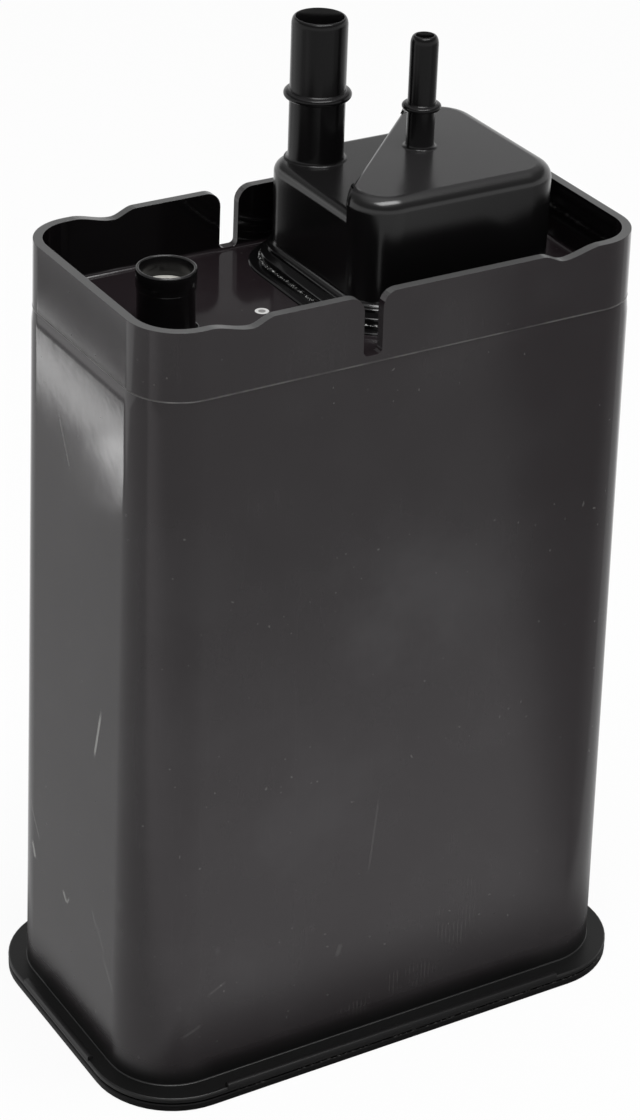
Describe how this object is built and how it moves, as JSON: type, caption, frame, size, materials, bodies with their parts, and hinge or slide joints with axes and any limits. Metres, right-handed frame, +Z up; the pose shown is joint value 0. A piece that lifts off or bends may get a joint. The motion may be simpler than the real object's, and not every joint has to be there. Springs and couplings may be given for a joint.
{
  "type": "charcoal canister",
  "caption": "Fuel vapour canister: a tall tapered box with rounded corners, an open collar round its deck, a welded dome carrying two quick-connect tubes, and a vent nipple.",
  "frame": {"origin": "middle of the underside of the bottom cover", "axes": "+Z up along the canister's height, from the cover to the tubes; X along the long face with the vent nipple at -X and the dome at +X; +Y from the front long face to the back one, which the wide tube is near"},
  "size_m": [0.1768, 0.1052, 0.2976],
  "materials": {
    "body_plastic": "satin, moulded",
    "plate_plastic": "satin, moulded",
    "screen_plastic": "natural, moulded",
    "carbon": "dull pellets",
    "foam": "open-cell foam",
    "felt": "pressed felt",
    "spring_steel": "drawn wire"
  },
  "bodies": {
    "root": {"housing": "body_plastic", "dome_cover": "body_plastic", "bottom_cover": "body_plastic", "tank_upper_felt": "felt", "tank_upper_foam": "foam", "tank_carbon": "carbon", "tank_lower_foam": "foam", "tank_lower_felt": "felt", "tank_plate": "plate_plastic", "vent_upper_felt": "felt", "vent_upper_foam": "foam", "vent_carbon": "carbon", "vent_lower_foam": "foam", "vent_lower_felt": "felt", "vent_plate": "plate_plastic", "tank_spring_1": "spring_steel", "tank_spring_2": "spring_steel", "vent_spring": "spring_steel", "vent_screen": "screen_plastic", "dome_foam": "foam"}
  },
  "joints": []
}
